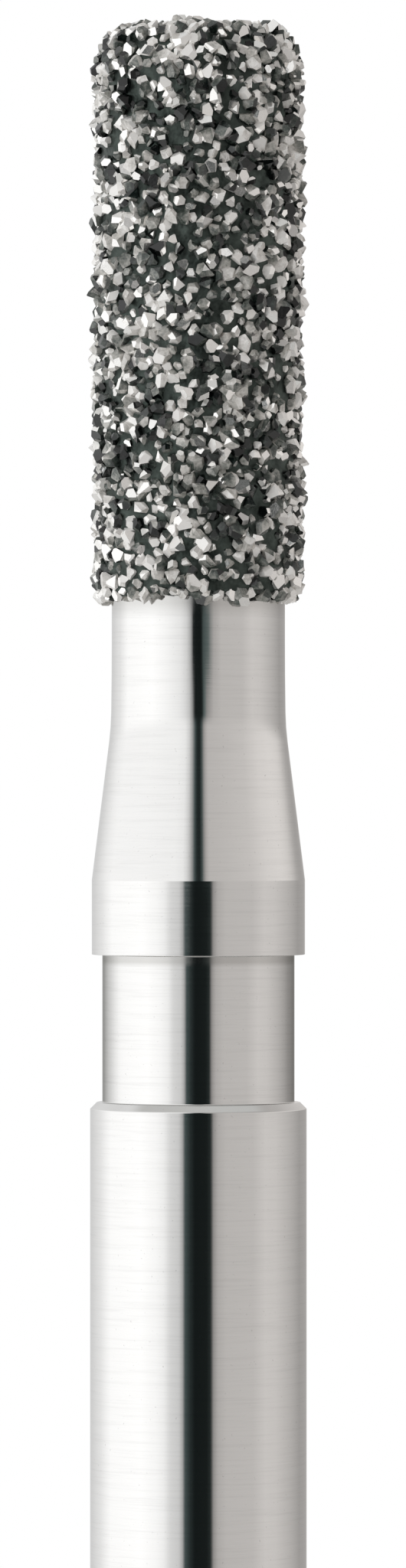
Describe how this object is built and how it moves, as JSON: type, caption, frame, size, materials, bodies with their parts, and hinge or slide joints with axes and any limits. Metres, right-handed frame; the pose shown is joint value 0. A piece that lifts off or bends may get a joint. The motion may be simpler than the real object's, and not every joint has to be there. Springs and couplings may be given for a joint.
{
  "type": "dental bur",
  "caption": "Rotary dental bur with a smooth cylindrical grip shank, a bare ring groove, a flared neck and a round-edged cylindrical head coated in diamond grit.",
  "frame": {"origin": "centre of the flat end face of the shank, which is where the chuck that holds the shank ends", "axes": "+Z along the bur's axis, from the shank towards the coated head"},
  "size_m": [0.0016, 0.0016, 0.019],
  "materials": {
    "steel": "polished",
    "nickel": "satin",
    "diamond": "gloss"
  },
  "bodies": {
    "root": {"steel_blank": "steel", "nickel_bond": "nickel", "diamond_stones": "diamond"}
  },
  "joints": []
}
